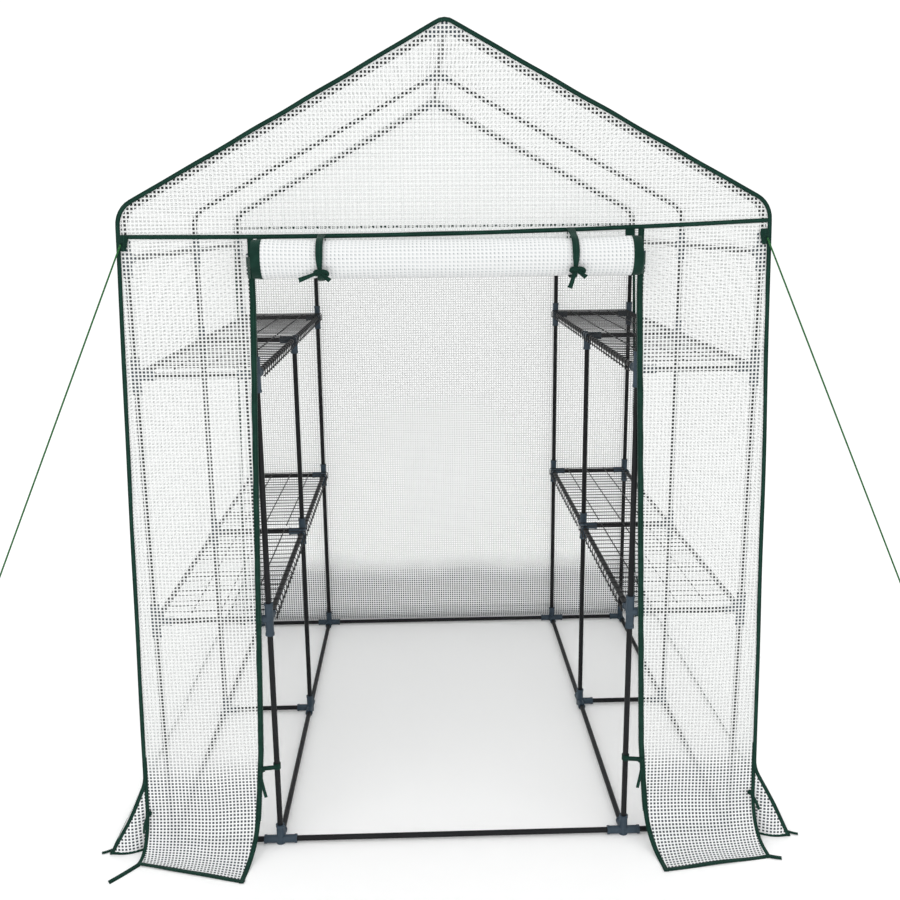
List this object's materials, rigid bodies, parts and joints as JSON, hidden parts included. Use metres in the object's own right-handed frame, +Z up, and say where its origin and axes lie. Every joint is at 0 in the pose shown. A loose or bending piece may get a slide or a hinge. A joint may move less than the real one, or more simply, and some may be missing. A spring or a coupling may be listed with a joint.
{
  "type": "walk-in greenhouse",
  "caption": "Walk-in greenhouse: tube frame, wire shelves along both sides of an aisle, mesh cover with a roll-up door, skirts and guy ropes.",
  "frame": {"origin": "on the ground at the centre of the footprint of the frame and skirts", "axes": "+Z up, +X to the right seen from the door, -Y out of the door"},
  "size_m": [2.6336, 1.7352, 1.9453],
  "materials": {
    "frame_tube": "black powder coat, satin",
    "connector": "moulded plastic, slate blue, fine grain",
    "shelf_wire": "black dipped coating on welded wire",
    "cover_mesh": "clear plastic film over a white thread grid",
    "green_tape": "woven dark green tape",
    "guy_rope": "braided dark green cord",
    "peg_steel": "galvanised wire",
    "zip_metal": "dark green lacquer"
  },
  "bodies": {
    "frame": {"door_sheet": "cover_mesh", "door_ties": "green_tape", "eave_connectors": "connector", "end_skirts": "cover_mesh", "front_gable": "cover_mesh", "front_inner_posts": "frame_tube", "front_outer_posts": "frame_tube", "front_rafters": "frame_tube", "ground_inner_connectors": "connector", "ground_outer_connectors": "connector", "header_elbows": "connector", "headers": "frame_tube", "hem_straps": "green_tape", "left_eave_rails": "frame_tube", "left_front_lower_shelf": "shelf_wire", "left_front_panel": "cover_mesh", "left_front_upper_shelf": "shelf_wire", "left_ground_rails": "frame_tube", "left_guy_rope": "guy_rope", "left_lower_shelf_rails": "frame_tube", "left_peg": "peg_steel", "left_rear_lower_shelf": "shelf_wire", "left_rear_upper_shelf": "shelf_wire", "left_roof_panel": "cover_mesh", "left_side_panel": "cover_mesh", "left_upper_shelf_rails": "frame_tube", "lower_inner_connectors": "connector", "lower_outer_connectors": "connector", "middle_inner_posts": "frame_tube", "middle_outer_posts": "frame_tube", "middle_rafters": "frame_tube", "rear_inner_posts": "frame_tube", "rear_outer_posts": "frame_tube", "rear_panel": "cover_mesh", "rear_rafters": "frame_tube", "ridge_connectors": "connector", "ridge_tubes": "frame_tube", "right_eave_rails": "frame_tube", "right_front_lower_shelf": "shelf_wire", "right_front_panel": "cover_mesh", "right_front_upper_shelf": "shelf_wire", "right_ground_rails": "frame_tube", "right_guy_rope": "guy_rope", "right_lower_shelf_rails": "frame_tube", "right_peg": "peg_steel", "right_rear_lower_shelf": "shelf_wire", "right_rear_upper_shelf": "shelf_wire", "right_roof_panel": "cover_mesh", "right_side_panel": "cover_mesh", "right_upper_shelf_rails": "frame_tube", "rope_patches": "green_tape", "side_skirts": "cover_mesh", "sills": "frame_tube", "skirt_tapes": "green_tape", "upper_inner_connectors": "connector", "upper_outer_connectors": "connector"},
    "door_roll": {"door_roll": "cover_mesh"},
    "left_slider": {"left_zip_slider": "zip_metal"},
    "right_slider": {"right_zip_slider": "zip_metal"}
  },
  "joints": [
    {"name": "door_drop", "type": "slide", "parent": "frame", "child": "door_roll", "axis": [0, 0, -1], "range_m": [0, 1.375], "deforming": ["door_sheet", "door_ties"]},
    {"name": "left_zip_slide", "type": "slide", "parent": "frame", "child": "left_slider", "axis": [0, 0, -1], "range_m": [0, 1.375]},
    {"name": "right_zip_slide", "type": "slide", "parent": "frame", "child": "right_slider", "axis": [0, 0, -1], "range_m": [0, 1.375]}
  ],
  "couplings": [
    {"joint": "left_zip_slide", "follows": "door_drop", "ratio": 1},
    {"joint": "right_zip_slide", "follows": "door_drop", "ratio": 1}
  ]
}
